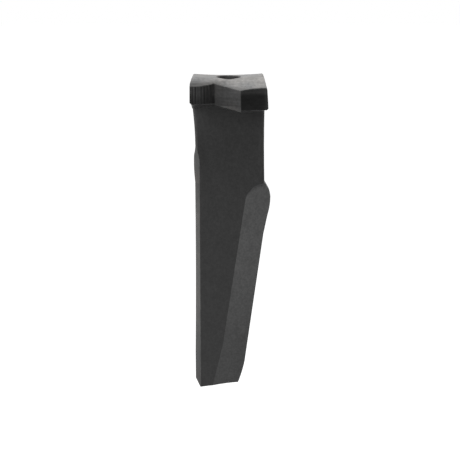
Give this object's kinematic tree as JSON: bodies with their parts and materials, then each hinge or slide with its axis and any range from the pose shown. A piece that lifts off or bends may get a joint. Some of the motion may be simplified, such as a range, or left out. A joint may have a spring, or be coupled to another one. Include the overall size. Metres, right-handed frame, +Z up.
{
  "type": "power harrow tine",
  "caption": "Forged harrow tine: flat tapered blade with bevelled sides on a waisted neck, under a thick stepped head with a blind bore.",
  "frame": {"origin": "on the axis of the blind bore in the head's top, where the bore's wall begins below its chamfered mouth", "axes": "+Z up along the tine, out of the bore, with the head on top and the blade hanging below; +X across the blade towards its broad bevelled side; -Y is the blade's front face"},
  "size_m": [0.075, 0.0564, 0.3218],
  "materials": {
    "painted_steel": "satin"
  },
  "bodies": {
    "root": {"tine": "painted_steel"}
  },
  "joints": []
}
